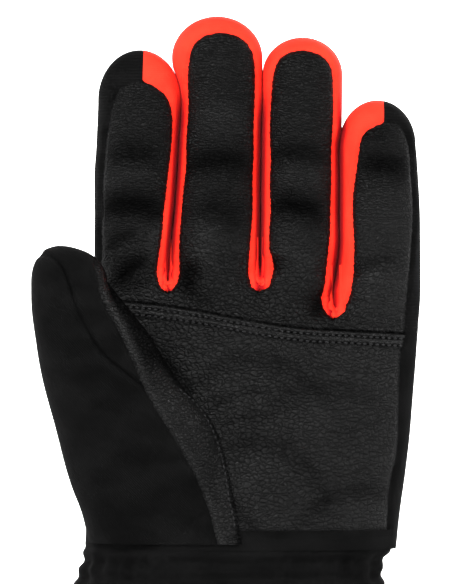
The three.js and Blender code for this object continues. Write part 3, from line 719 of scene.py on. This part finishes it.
def make_finger(number):
    finger = FINGERS[number]
    name = finger["name"]
    p, front = finger_grid(number)
    x, y, z = p[..., 0], p[..., 1], p[..., 2]
    tongue = inside_distance(rounded(TONGUES[name], closed=True, per=4), x, z)
    tongue += 0.13 * np.sin(z * 4.1 + 2 * np.sin(x * 0.9)) + 0.1 * np.sin(z * 1.7 + x)
    z_low = np.minimum(z, finger["shoulder"])
    back_left = smooth(LINES[number], z_low) + BACK_INSET
    back_right = smooth(LINES[number + 1], z_low) - BACK_INSET
    top = finger["tip"] - 7
    rise = 12.0
    arch = np.sqrt(np.clip(1 - np.clip((z - top + rise) / rise, 0, 1) ** 2, 0, 1))
    mid, half = (back_left + back_right) / 2, (back_right - back_left) / 2
    back = np.minimum(half * arch - np.abs(x - mid), top - z)
    for side, line in gaps(number):
        below = (np.sign(x - mid) == side) & (z < CROTCH[line] + 3)
        back = np.where(below, np.maximum(back, 0.5), back)
    f_leather = np.where(front, tongue, -np.abs(tongue) - 0.5)
    f_back = np.where(front, -np.abs(back) - 0.5, back)
    f_strip = np.minimum(-f_leather, -f_back)
    near_crotch = np.zeros_like(z)
    for _, line in gaps(number):
        off_line = x - smooth(LINES[line], z)
        f_strip = np.where(np.abs(off_line) < 8, np.minimum(f_strip, z - CROTCH[line] - 0.5), f_strip)
        near_crotch += ridge(off_line, 6) * ridge(z - CROTCH[line] - 3, 7)
    start = z - hand_end(x, y)
    along_seam = np.minimum(np.abs(f_leather), np.where(front, 9, np.abs(back)))
    normals = grid_normals(p)
    grooved = p - normals * np.where(front, folds(x, z), 0.3 * folds(x, z))[..., None]
    off_wall = step(0.1, 0.55, np.abs(y - y.mean(axis=1, keepdims=True)) / 13)
    grooved -= normals * (waves(p, 22, 3 + number) * 0.35 * step(168, 188, z) * off_wall)[..., None]
    grooved = press_seams(grooved, normals, along_seam, 0.9, 0.75)
    pinch = near_crotch * (waves(p, 5, 20 + number) * 0.6 + 0.3)
    grooved = grooved - normals * (pinch * np.where(f_strip > 0, 1.0, 0.5) * off_wall)[..., None]
    shades = {"finger_leather": leather_shade, "neon": wall_shade(number)}

    def over_knuckle(obj):
        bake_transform(obj)

    def panel(label, f, look, slot, *nodes):
        make_piece(f"{name}_{label}", grooved, np.minimum(f, start), look, slot, over_knuckle, *nodes,
                   shade=shades.get(look))

    panel("leather_front", f_leather, "finger_leather", "leather", f"{name}_palm_leather")
    panel("softshell_back", f_back, "softshell", "softshell", f"{name}_back_panel")
    gusset = ("neon", "fourchette_fabric", f"{name}_fourchette")
    if number in (1, 2):
        panel("stretch_gusset", f_strip, *gusset)
    else:
        split_x = {0: -30.2, 3: 56.3}[number]
        sign = 1 if number == 0 else -1
        split = sign * (x - split_x) - 0.02 * (z - 250) * sign
        neon = np.where(z > 220, split, sign * (x - mid))
        panel("stretch_gusset", np.minimum(f_strip, neon), *gusset)
        panel("side_band", np.minimum(f_strip, -neon), "side_band", "softshell", f"{name}_side_strip")
    liner = finger_grid(number, inset=LINER_INSET["finger"], columns=28, row_step=3.0)[0]
    make_liner(name, liner, liner[..., 2] - 168, over_knuckle)


# ---- hand ----------------------------------------------------------------------------
def hand_grid(heights, inset=0.0, columns=360):
    z = np.asarray(heights, float)[:, None]
    c, s = section(columns)
    left, right = smooth(PALM["left"], z) + inset, smooth(PALM["right"], z) - inset
    x = (left + right) / 2 + (right - left) / 2 * c
    y = (smooth(PALM["depth"], z) - inset) * s
    return np.dstack([x, y, z + 0 * c]), y < 0


def make_hand():
    p, front = hand_grid(np.concatenate([np.arange(84, 154, 1.0), np.arange(154, 177, 0.33)]))
    x, y, z = p[..., 0], p[..., 1], p[..., 2]
    normals = grid_normals(p)
    right = line_distance(rounded(RIGHT_SEAM), x, z)
    end = hand_end(x, y) - z
    f_leather = np.where(front, np.minimum(right, z - LEATHER_BOTTOM), -1 - np.abs(right))
    seam_d = np.where(front, np.abs(f_leather), 9)
    welt_v = z - seam_height(x)
    welt = step(WELT_LOW - 0.3, WELT_LOW + 0.3, welt_v) * step(WELT_HIGH + 0.25, WELT_HIGH - 0.25, welt_v)
    rows = sum(ridge(welt_v - row, 0.38) for row in WELT_STITCHES)
    welt = np.where(front & (x < 64), 0.7 * welt - 0.6 * rows - 0.5 * ridge(welt_v - WELT_FOLD, 0.5), 0)
    relief = welt - np.where(front, folds(x, z), 0.2 * folds(x, z))
    relief -= waves(p, 40, 11) * 0.35 * step(84, 100, z) * step(172, 160, z)
    shaped = p + normals * relief[..., None]
    shaped = press_seams(shaped, normals, seam_d, 1.0, 1.0)
    make_piece("palm_leather_lower", shaped, np.minimum(f_leather, end), "palm_leather", "leather",
               on_hand, "lower_palm_leather", "upper_palm_leather", shade=hand_shade)
    make_piece("hand_softshell_back", shaped, np.minimum(-f_leather, end), "softshell", "softshell",
               on_hand, "hand_back_panel")
    liner = hand_grid(np.arange(88, 176, 4.0), inset=LINER_INSET["hand"], columns=60)[0]
    make_liner("hand", liner, 164 - liner[..., 2], on_hand)


def thumb_grid(inset=0.0, columns=150, row_step=FINE, bottom=86.0):
    z, share = digit_rows(bottom, THUMB_SHOULDER, THUMB_TIP, inset, row_step, 16)
    z = z[:, None]
    c, s = section(columns, THUMB_POWER)
    left, right = smooth(THUMB["left"], z) + inset, smooth(THUMB["right"], z) - inset
    middle = (left + right) / 2
    middle = middle + (THUMB_TIP_X - middle) * (1 - share)
    x = middle + (right - left) / 2 * share * c
    deep = (smooth(THUMB["half_depth"], z) - inset) * share
    y = smooth(THUMB["middle_y"], z) + deep * s
    return np.dstack([x, y, z + 0 * c]), s < 0


def blend_thumb(obj):
    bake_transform(obj)


def make_thumb():
    p, front = thumb_grid()
    x, y, z = p[..., 0], p[..., 1], p[..., 2]
    over_palm = front & (x > -50) & (z < 172)
    y = np.where(over_palm, np.minimum(y, thumb_front(x, z)), y)
    p = np.dstack([x, y, z])
    normals = grid_normals(p)
    edge = line_distance(rounded(STRIP_EDGE), x, z)
    gusset = line_distance(rounded(GUSSET_SEAM), x, z)
    wrap = x - (smooth(THUMB["right"], np.minimum(z, THUMB_SHOULDER)) - 5)
    f_leather = np.where(front, edge, wrap)
    f_gusset = np.where(front, np.minimum(gusset, -edge), -1 - np.abs(gusset))
    f_gusset = np.where(~front & (z > 186), np.minimum(gusset, -wrap), f_gusset)
    seams = np.minimum(np.abs(np.where(front, edge, 9)), np.where(front & (edge < 0.5), np.abs(gusset), 9))
    thenar = np.abs(line_distance(rounded(THENAR_SEAM), x, z))
    calm = step(0, 9, np.minimum(thenar, seams)) * step(86, 100, z)
    relief = (waves(p, 26, 5) * 0.3 + waves(p, 60, 6) * 0.5) * calm
    relief += 0.3 * ridge(gusset - 1.3, 1.0) * front
    shaped = p + normals * relief[..., None]
    shaped = press_seams(shaped, normals, seams, 0.9, 0.7)
    buried = palm_depth(x, z) - np.abs(y)
    visible = np.where(front, 1.0, 2.5 - buried)
    limit = np.minimum(visible, z - 86.2)
    make_piece("thumb_leather_strip", shaped, np.minimum(f_leather, limit), "thumb_leather", "leather",
               blend_thumb, "thumb_leather", "thumb_base_leather", shade=thumb_shade)
    for label, f, node in (("gusset", f_gusset, "thumb_gusset"), ("back", -f_gusset, "thumb_back_panel")):
        shell = np.minimum(np.minimum(f, -f_leather), limit)
        make_piece(f"thumb_softshell_{label}", shaped, shell, "softshell", "softshell", blend_thumb, node,
                   shade=shell_shade)
    liner = thumb_grid(inset=LINER_INSET["thumb"], columns=30, row_step=3.0, bottom=120)[0]
    make_liner("thumb", liner, liner[..., 2] - 118, blend_thumb)


# ---- cuff ----------------------------------------------------------------------------
ELASTIC_Z = 77  # middle of the gathered wrist elastic


def cuff_grid(z, inset=0.0, columns=240):
    z = np.asarray(z, float)[:, None]
    c, s = section(columns)
    to_hand = step(66, 92, z)
    left, right = smooth(PALM["left"], z), smooth(PALM["right"], z)
    middle = to_hand * (left + right) / 2
    half = smooth(CUFF["half_width"], z) * (1 - to_hand) + (right - left) / 2 * to_hand - inset
    deep = smooth(CUFF["half_depth"], z) * (1 - to_hand) + smooth(PALM["depth"], z) * to_hand - inset
    return np.dstack([middle + half * c, deep * s, z + 0 * c])


def make_cuff():
    p = cuff_grid(np.concatenate([np.arange(1.6, 66, 1.2), [66.0]]))
    normals = grid_normals(p)
    x, y, z = p[..., 0], p[..., 1], p[..., 2]
    relief = waves(p, 34, 8) * 0.5 * step(2, 14, z)
    side_seam = np.abs(y)
    shaped = press_seams(p + normals * relief[..., None], normals, side_seam, 0.8, 0.9)
    for name, f, node in (("cuff_softshell_front", -y, "cuff_palm_panel"),
                          ("cuff_softshell_back", y, "cuff_back_panel")):
        make_piece(name, shaped, f, "softshell", "softshell", on_cuff, node)

    sleeve = cuff_grid(np.linspace(66, 91, 44))
    normals = grid_normals(sleeve)
    x, y, z = sleeve[..., 0], sleeve[..., 1], sleeve[..., 2]
    above = z - ELASTIC_Z
    gather = np.sin(x * 1.15 + 0.8 * np.sin(z * 0.35)) * ridge(above, 6)
    rows = np.cos(above * 2 * math.pi / 5.5) * step(9, 6, np.abs(above))
    relief = gather * 0.7 + rows * 0.5 - 1.2 * ridge(above, 7)
    shaped = sleeve + normals * relief[..., None]
    make_piece("wrist_sleeve", shaped, z - 60, "softshell", "softshell", across_wrist, "wrist_elastic")

    inner = cuff_grid(np.arange(3, 98, 3.0), inset=LINER_INSET["cuff"], columns=90)
    inner += grid_normals(inner) * (waves(inner, 14, 9) * 0.4)[..., None]
    make_liner("cuff", inner, inner[..., 2], across_wrist)

    hem = rounded([(-1.35, 10.0), (-1.5, 5.0), (-1.35, 1.0), (-0.6, 0.05), (2.5, 0.0), (5.8, 0.05),
                   (6.6, 1.0), (6.8, 5.0), (6.6, 10.0)], per=4)
    grid = np.array([cuff_grid([height], inset=inset)[0] for inset, height in hem])
    make_piece("hem_tape", grid, np.ones(grid.shape[:2]), "webbing", "webbing", on_cuff, "hem_binding")


# ---- stitching -----------------------------------------------------------------------
def tube_faces(rings, around, base=0):
    """Quads between rings of points that follow one another from a base index."""
    faces = []
    for first in range(base, base + (rings - 1) * around, around):
        for a in range(around):
            b = (a + 1) % around
            faces.append([first + a, first + b, first + around + b, first + around + a])
    return faces


def stitch_row(name, places, normals, attach, slot="leather", length=1.6, gap=0.7, radius=0.34):
    """A row of thread bumps along a path of points lying on a surface, then attached by a function."""
    travel = np.concatenate([[0], np.cumsum(np.linalg.norm(np.diff(places, axis=0), axis=1))])
    points, faces = [], []
    around, along = 6, 5
    for start in np.arange(0.3, travel[-1] - length, length + gap):
        where = np.linspace(start, start + length, along)
        centre, up = (np.array([np.interp(where, travel, row) for row in path.T]).T
                      for path in (places, normals))
        up = unit(up)
        ahead = unit(np.gradient(centre, axis=0))
        side = np.cross(up, ahead)
        swell = np.sin(np.linspace(0.15, math.pi - 0.15, along))
        base = len(points)
        for k in range(along):
            for angle in 2 * math.pi * np.arange(around) / around:
                r = radius * (0.45 + 0.55 * swell[k])
                points.append(centre[k] + up[k] * (0.2 * swell[k] - 0.25 + r * math.sin(angle))
                              + side[k] * r * math.cos(angle))
        faces += tube_faces(along, around, base)
        faces.append([base + a for a in reversed(range(around))])
        faces.append([base + (along - 1) * around + a for a in range(around)])
    obj = to_object(name, points, faces, MATERIALS["thread"], slot)
    attach(obj)
    return obj


def surface_path(line, front):
    """Points of an (x, z) line on a front surface given as y(x, z), and the surface's normals there."""
    x, z = line[:, 0], line[:, 1]
    e = 0.2
    dx = (front(x + e, z) - front(x - e, z)) / (2 * e)
    dz = (front(x, z + e) - front(x, z - e)) / (2 * e)
    return np.stack([x, front(x, z), z], 1), unit(np.stack([dx, -np.ones_like(x), dz], 1))


def make_stitching():
    x = np.linspace(-37.5, 62.8, 260)
    for label, row in zip(("upper", "lower"), WELT_STITCHES):
        line = np.stack([x, seam_height(x) + row], 1)
        places, normals = surface_path(line, lambda x, z: -palm_depth(x, z) + folds(x, z))
        places += normals * 0.55
        obj = stitch_row(f"palm_seam_stitches_{label}", places, normals, on_hand,
                         length=1.3, gap=1.0, radius=0.42)
        if label == "upper":
            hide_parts("palm_seam_welt")
    seam = rounded(THENAR_SEAM, per=12)
    seam = seam[(seam[:, 1] < 143) & (seam[:, 1] > 92)]
    along = unit(np.gradient(seam, axis=0))
    line = seam + np.stack([along[:, 1], -along[:, 0]], 1) * 1.3
    places, normals = surface_path(line, thumb_front)
    stitch_row("thumb_base_stitches", places + normals * 0.12, normals, blend_thumb)


# ---- gathered ends of the gussets ----------------------------------------------------
GATHERS = [  # parting line, bottom, half width, left and right roll, how far right of the line
    (1, 175.9, 1.3, (1.2, 1.2), 0.1), (2, 176.4, 1.45, (1.45, 1.4), 0.1), (3, 166.4, 1.8, (1.2, 1.8), 1.1),
]


def make_gathers():
    """The neon gussets' pinched ends, a U of gathered fabric at the bottom of each gap."""
    for line, bottom, spread, rolls, aside in GATHERS:
        centre_x = float(smooth(LINES[line], CROTCH[line] + 3)) + aside
        turn = np.radians(np.linspace(-180, 0, 26))
        arms = np.linspace(17, 3.6, 28)
        lift = 3.0
        path = np.concatenate([
            np.stack([-spread + 0 * arms, arms + lift], 1),
            np.stack([spread * np.cos(turn), 3.6 + lift + 4.2 * np.sin(turn)], 1)[1:-1],
            np.stack([spread + 0 * arms, (arms + lift)[::-1]], 1)])
        u, v = path.T
        ahead = unit(np.gradient(path, axis=0))
        side = np.stack([-ahead[:, 1], ahead[:, 0]], 1)
        share = np.clip((u + spread) / (2 * spread), 0, 1)
        width = rolls[0] * (1 - share) + rolls[1] * share
        shift = (rolls[1] - rolls[0]) * share
        width = width * (0.62 + 0.38 * step(12.0, 5.0, v)) + 0.6 * ridge(v - 1.8, 2.0)
        fade = step(13.0, 3.5, v)
        x, z = centre_x + u + shift, bottom + v - 0.6
        front = np.where(x < smooth(LINES[line], z), finger_front(line - 1, x, z), finger_front(line, x, z))
        deep = front + 0.55 + 0.7 * (1 - fade)
        around = 20
        angle = 2 * math.pi * np.arange(around) / around
        grid = np.zeros((len(path), around, 3))
        for k, a in enumerate(angle):
            w = width * math.cos(a)
            h = 0.9 * math.sin(a)
            grid[:, k] = np.stack([x + side[:, 0] * w, deep - h, z + side[:, 1] * w], 1)
        crumple = waves(grid, 3.2, 40 + line) * 0.28 + waves(grid, 1.5, 50 + line) * 0.1
        pinch = 0.55 * ridge(grid[..., 0] - centre_x, 0.45) * ridge(grid[..., 2] - bottom - 2.6, 2.0)
        grid = grid + grid_normals(grid) * (crumple * fade[:, None])[..., None]
        grid[..., 1] += pinch

        # painted shade in the pocket inside the U and a little at its pinched bottom
        def painted_pocket_shade(points, centre_x=centre_x, bottom=bottom):
            across, up = points[:, 0] - centre_x, points[:, 2] - bottom
            painted_tuck_shade = 0.35 * ridge(up - 2.2, 1.0) * ridge(across, 0.7)
            return ridge(across, 0.9) * step(3.0, 6.0, up) + painted_tuck_shade

        make_piece(f"gusset_gather_{line}", grid, np.ones(grid.shape[:2]), "neon", "fourchette_fabric",
                   on_hand, shade=painted_pocket_shade)


# ---- strap and pull-on loop ----------------------------------------------------------
STRAP_LOW, STRAP_HIGH, RING_X, LEG_END, TAB_END = 45, 65, -20, 42, 36
BAND_THICKNESS, PATCH_THICKNESS, LAYER_GAP = 1.4, 0.8, 0.35
LEG_HEIGHT = LAYER_GAP
LOOP_HEIGHT = LEG_HEIGHT + BAND_THICKNESS + LAYER_GAP
HOOK_HEIGHT = LOOP_HEIGHT + PATCH_THICKNESS + LAYER_GAP
TAB_HEIGHT = HOOK_HEIGHT + PATCH_THICKNESS + LAYER_GAP


def cuff_back(x, z):
    half = smooth(CUFF["half_width"], z)
    return section_front(x, -half, half, smooth(CUFF["half_depth"], z))


def cuff_place(x, z, height):
    """Point at a height off the cuff's back, and the normal there."""
    e = 0.3
    dx = (cuff_back(x + e, z) - cuff_back(x - e, z)) / (2 * e)
    dz = (cuff_back(x, z + e) - cuff_back(x, z - e)) / (2 * e)
    n = unit(np.stack([-dx, 1 + 0 * x, -dz], -1))
    return np.stack([x, cuff_back(x, z), z], -1) + n * np.asarray(height)[..., None], n


def band(name, node, x_span, z_span, low, thickness, look, slot, attach, round_end=0.0, ridges=0.0):
    """A flat band wrapped over the cuff's back, its edges rounded and its right end rounded if asked."""
    x = np.linspace(*x_span, 90)
    corner = 0.45 * thickness
    outline = rounded([(0, corner), (corner, 0), (1, 0), (19, 0), (20 - corner, 0), (20, corner),
                       (20, thickness - corner), (20 - corner, thickness), (18.8, thickness * 1.06),
                       (10, thickness), (1.2, thickness * 1.06), (corner, thickness),
                       (0, thickness - corner)], closed=True, per=3)
    share, height = outline[:, 0] / 20, outline[:, 1]
    middle, half = (z_span[0] + z_span[1]) / 2, (z_span[1] - z_span[0]) / 2
    from_end = np.clip(x_span[1] - x, 0, None)
    narrow = np.ones_like(x)
    if round_end:
        near = np.clip(from_end / round_end, 0, 1)
        narrow = 0.55 + 0.45 * np.sqrt(1 - (1 - near) ** 2)
    thin = np.clip(np.minimum(from_end, x - x_span[0]) / 0.6, 0.0, 1.0) ** 0.5
    z = middle + (share[None, :] * 2 - 1) * half * narrow[:, None]
    lift = low + thickness / 2 + (height[None, :] - thickness / 2) * (0.3 + 0.7 * thin[:, None])
    if ridges:
        wave = 0.5 + 0.5 * np.cos(2 * math.pi * (x - x_span[0]) / ridges)
        on_top = (height > thickness * 0.7) & (np.abs(share * 2 - 1) < 0.75)
        lift = lift + 0.35 * wave[:, None] * on_top[None, :]
    grid = cuff_place(np.repeat(x[:, None], len(share), 1), z, lift)[0]
    points, faces = clip(grid[::-1], np.ones(grid.shape[:2]))
    rows = grid.shape[1]
    faces.append([k for k in range(rows)])
    faces.append([len(points) - 1 - k for k in range(rows)])
    obj = to_object(name, points, faces, MATERIALS[look], slot)
    attach(obj)
    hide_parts(node)


def make_strap():
    span = (STRAP_LOW, STRAP_HIGH)
    tape = (BAND_THICKNESS, "webbing", "webbing")
    band("strap_leg_tape", "strap_leg", (RING_X + 4, LEG_END), span, LEG_HEIGHT, *tape, on_cuff)
    band("strap_loop_pile", "loop_patch", (RING_X + 12, LEG_END - 4), (STRAP_LOW + 1, STRAP_HIGH - 1),
         LOOP_HEIGHT, PATCH_THICKNESS, "pile", "loop_pile", on_cuff)
    band("ring_keeper_tape", "ring_keeper", (RING_X - 18, RING_X - 4), span, LEG_HEIGHT, *tape, on_cuff)
    band("strap_tab_tape", "strap_tab", (RING_X + 5, TAB_END), span, TAB_HEIGHT, *tape, on_strap)
    band("strap_pull_tab", "pull_tab", (TAB_END + LAYER_GAP, TAB_END + 12), (STRAP_LOW + 2, STRAP_HIGH - 2),
         TAB_HEIGHT - 0.4, 2.2, "rubber", "pull_tab_rubber", on_strap, round_end=8, ridges=2.4)
    for label, x_span, low, attach in (("leg", (RING_X + 5, LEG_END - 1.4), LEG_HEIGHT, on_cuff),
                                       ("tab", (RING_X + 6, TAB_END - 1.4), TAB_HEIGHT, on_strap),
                                       ("keeper", (RING_X - 16.6, RING_X - 6), LEG_HEIGHT, on_cuff)):
        x = np.linspace(*x_span, 60)
        for edge, z in (("low", STRAP_LOW + 1.8), ("high", STRAP_HIGH - 1.8)):
            places, normals = cuff_place(x, z + 0 * x, low + BAND_THICKNESS + 0.15 + 0 * x)
            stitch_row(f"strap_{label}_stitches_{edge}", places, normals, attach, "webbing")


def make_pull_on_loop():
    """Webbing loop sewn to the palm side of the cuff, leaning with it."""
    length, reach, width, thick, corner, low, left = 30, 10, 12, 1.2, 6, 18, 18
    near, far = (float(smooth(CUFF["half_depth"], h)) for h in (low, low + length))
    lean = math.atan2(near - far, length)
    path = rounded([(0.2, 0.6), (3, 2.2), (reach - 2, corner - 1.2), (reach - 0.7, corner + 1.5),
                    (reach - 0.6, 15), (reach - 0.7, 22.5), (reach - 2, 25.2), (3, 27.8), (0.2, 29.4)])
    ahead = unit(np.gradient(path, axis=0))
    out = np.stack([ahead[:, 1], -ahead[:, 0]], 1)
    corner_r = 0.4
    outline = rounded([(0, -0.2), (corner_r, -0.6), (width / 2, -0.6), (width - corner_r, -0.6),
                       (width, -0.2), (width, 0.2), (width - corner_r, 0.6), (width / 2, 0.6),
                       (corner_r, 0.6), (0, 0.2)], closed=True, per=3)
    across, height = outline[:, 0], outline[:, 1] * thick / 1.2
    y = -(path[:, 0][:, None] + out[:, 0][:, None] * height[None, :])
    z = path[:, 1][:, None] + out[:, 1][:, None] * height[None, :]
    grid = np.dstack([left + across[None, :] + 0 * y,
                      y * math.cos(lean) + z * math.sin(lean) - near - 0.2,
                      -y * math.sin(lean) + z * math.cos(lean) + low])
    make_piece("pull_on_loop_tape", grid, np.ones(grid.shape[:2]), "webbing", "webbing", on_cuff,
               "pull_on_loop")


def dress_hard_parts():
    """The ring and the hook strip keep their CAD shape and take a material and its texture places."""
    for node, look in (("strap_ring", "plastic"), ("hook_patch", "rubber")):
        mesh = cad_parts[node].data
        rest = mesh.attributes.new("rest_place", "FLOAT_VECTOR", "POINT")
        rest.data.foreach_set("vector", [c * 1000 for v in mesh.vertices for c in v.co])
        mesh.materials.clear()
        mesh.materials.append(MATERIALS[look])


# ---- studio --------------------------------------------------------------------------
def make_studio():
    def area_light(name, place, target, size, power):
        data = bpy.data.lights.new(name, "AREA")
        data.shape = "RECTANGLE"
        data.size, data.size_y = size
        data.energy = power
        obj = bpy.data.objects.new(name, data)
        obj.location = place
        obj.rotation_euler = (Vector(target) - Vector(place)).to_track_quat("-Z", "Y").to_euler()
        bpy.context.collection.objects.link(obj)

    area_light("key_box", (-0.45, -0.85, 1.15), (0, 0, 0.18), (0.5, 0.5), 20)
    area_light("left_box", (-1.2, -0.5, 0.5), (0, 0, 0.18), (0.4, 0.6), 6)
    area_light("right_box", (1.2, -0.5, 0.55), (0, 0, 0.18), (0.4, 0.6), 9)
    area_light("front_box", (0.1, -1.6, 0.5), (0, 0, 0.18), (0.6, 0.6), 5)
    area_light("back_box", (0.5, 1.5, 1.0), (0, 0, 0.17), (0.8, 0.8), 14)

    world = bpy.data.worlds.new("soft_room")
    bpy.context.scene.world = world
    world.use_nodes = True
    world.node_tree.nodes["Background"].inputs["Color"].default_value = (1, 1, 1, 1)
    world.node_tree.nodes["Background"].inputs["Strength"].default_value = 0.15

    profile = rounded([(0.02, 0.0), (6.4, 0.0), (7.5, 0.12), (8.2, 0.7), (8.5, 1.8), (8.6, 8.0)], per=5)
    around = 72
    turns = 2 * math.pi * np.arange(around) / around
    points = [(r * math.cos(a), r * math.sin(a), z) for r, z in profile for a in turns]
    faces = tube_faces(len(profile), around)
    faces.append(list(range(around)))
    mesh = bpy.data.meshes.new("paper_sweep")
    mesh.from_pydata(points, [], faces)
    mesh.polygons.foreach_set("use_smooth", [True] * len(faces))
    sweep = bpy.data.objects.new("paper_sweep", mesh)
    bpy.context.collection.objects.link(sweep)
    m = Shader("white_paper", 0.9, specular=0.1)
    m.shader.inputs["Base Color"].default_value = (0.82, 0.82, 0.82, 1)
    m.shader.inputs["Emission Color"].default_value = (1, 1, 1, 1)
    where = m.node("ShaderNodeTexCoord").outputs["Object"]
    reach = m.fed("ShaderNodeVectorMath", where, "Value", operation="LENGTH")
    glow = m.node("ShaderNodeMath", operation="ADD")
    m.link(m.span(reach, 0.0, 0.7, 0.7, 2.0), glow.inputs[0])
    m.link(m.span(m.fed("ShaderNodeSeparateXYZ", where, "Y"), 0.0, 1.0, 0.6, 1.8), glow.inputs[1])
    m.link(glow.outputs[0], m.shader.inputs["Emission Strength"])
    mesh.materials.append(m.material)

    camera = bpy.data.cameras.new("camera")
    camera.sensor_fit = "HORIZONTAL"
    camera.sensor_width = 36
    distance = 1.9
    view_width = 0.1614  # of the picture, 12 mm in front of the glove's middle plane
    camera.lens = 36 * (distance - 0.012) / view_width
    camera.clip_end = 40
    obj = bpy.data.objects.new("camera", camera)
    obj.location = (-0.0004 + ORIGIN[0], -distance, 0.1761)
    obj.rotation_euler = (math.pi / 2, 0, 0)
    bpy.context.collection.objects.link(obj)
    bpy.context.scene.camera = obj
    bpy.context.scene.view_settings.view_transform = "Standard"


make_studio()
for finger_number in range(len(FINGERS)):
    make_finger(finger_number)
make_hand()
make_thumb()
make_cuff()
make_stitching()
make_gathers()
make_strap()
make_pull_on_loop()
dress_hard_parts()
